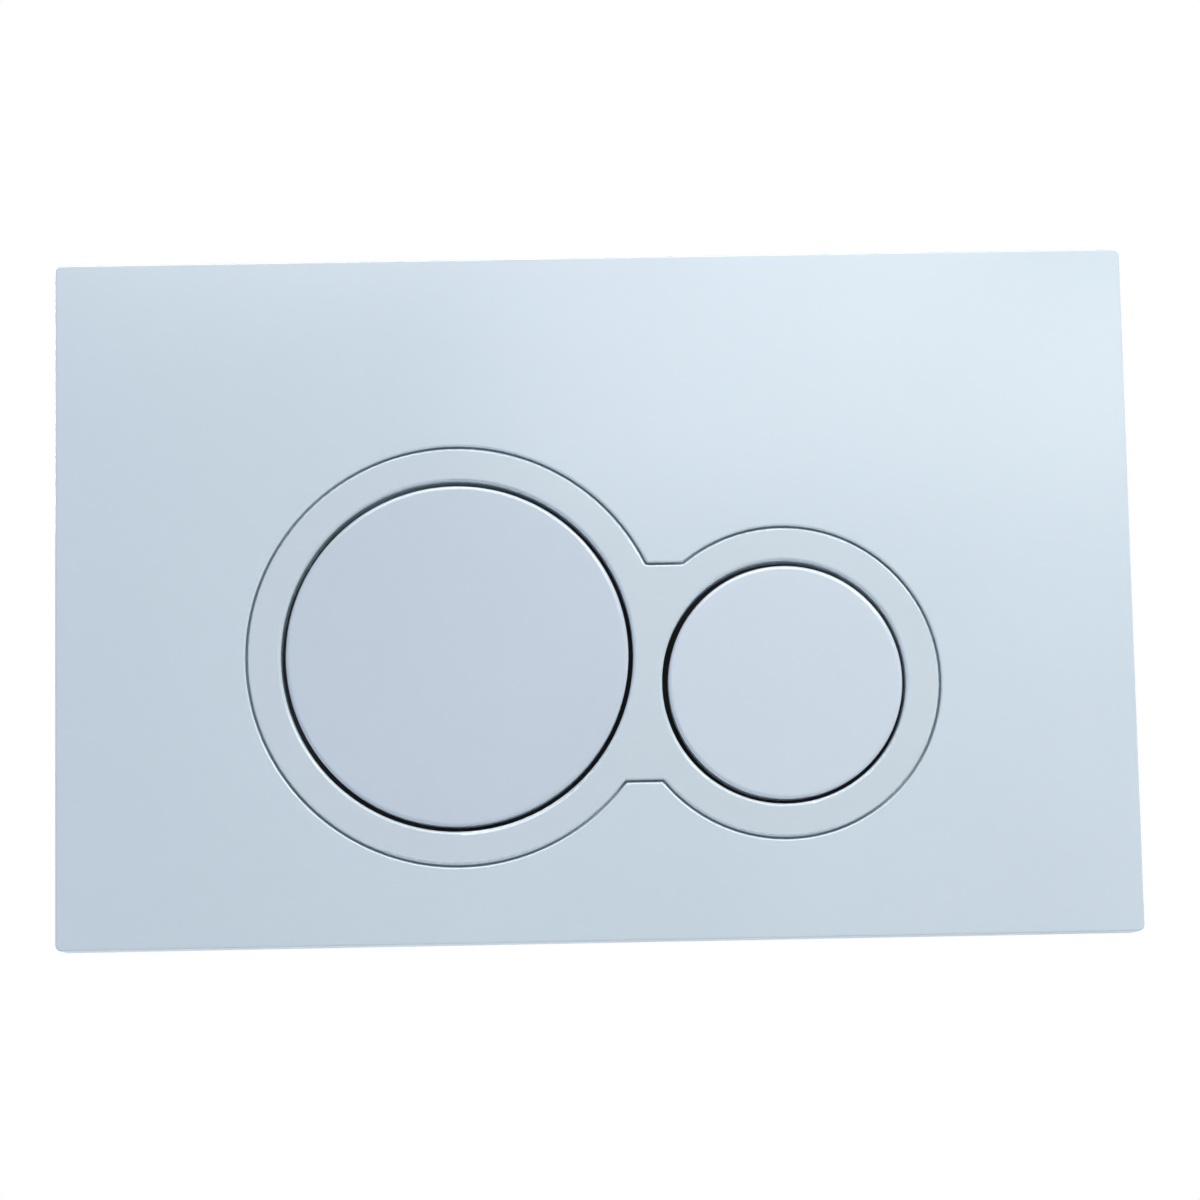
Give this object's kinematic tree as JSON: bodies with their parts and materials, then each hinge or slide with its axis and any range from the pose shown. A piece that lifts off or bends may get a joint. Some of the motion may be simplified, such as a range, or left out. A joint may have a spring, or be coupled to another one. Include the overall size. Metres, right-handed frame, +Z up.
{
  "type": "flush button plate",
  "caption": "Rectangular white wall plate for a concealed cistern, with a large and a small round push button in a figure-eight trim, on a frame with fixing bolts and push rods.",
  "frame": {"origin": "on the finished wall's face, midway between the two fixing bolts, behind the plate's centre", "axes": "+X right as seen from the room, +Z up, +Y into the wall; the plate's front faces -Y"},
  "size_m": [0.2502, 0.1103, 0.1602],
  "materials": {
    "plate": "moulded, high gloss",
    "trim": "moulded, high gloss",
    "buttons": "moulded, high gloss",
    "carrier": "moulded, fine matt",
    "plungers": "moulded, fine matt",
    "frame": "moulded, fine matt",
    "rods": "moulded, fine matt",
    "nuts": "moulded, fine matt",
    "rubber": "moulded, matt",
    "spring_steel": "drawn wire",
    "zinc_steel": "zinc plated"
  },
  "bodies": {
    "plate": {"front_plate": "plate", "trim_insert": "trim", "full_return_spring": "spring_steel", "half_return_spring": "spring_steel", "full_buffer_ring": "rubber", "half_buffer_ring": "rubber", "button_carrier": "carrier", "carrier_screws": "zinc_steel", "base_frame": "frame", "left_fixing_bolt": "zinc_steel", "right_fixing_bolt": "zinc_steel", "left_bolt_knob": "nuts", "right_bolt_knob": "nuts", "left_bolt_washer": "zinc_steel", "right_bolt_washer": "zinc_steel"},
    "full_button": {"full_flush_button": "buttons", "full_plunger": "plungers", "full_push_rod": "rods", "full_lock_nut": "nuts"},
    "half_button": {"half_flush_button": "buttons", "half_plunger": "plungers", "half_push_rod": "rods", "half_lock_nut": "nuts"}
  },
  "joints": [
    {"name": "full_flush_press", "type": "slide", "parent": "plate", "child": "full_button", "axis": [0, 1, 0], "range_m": [0, 0.006], "stiffness_N_per_m": 500, "springref_m": -0.008, "deforming": ["full_return_spring"]},
    {"name": "half_flush_press", "type": "slide", "parent": "plate", "child": "half_button", "axis": [0, 1, 0], "range_m": [0, 0.006], "stiffness_N_per_m": 500, "springref_m": -0.008, "deforming": ["half_return_spring"]}
  ]
}
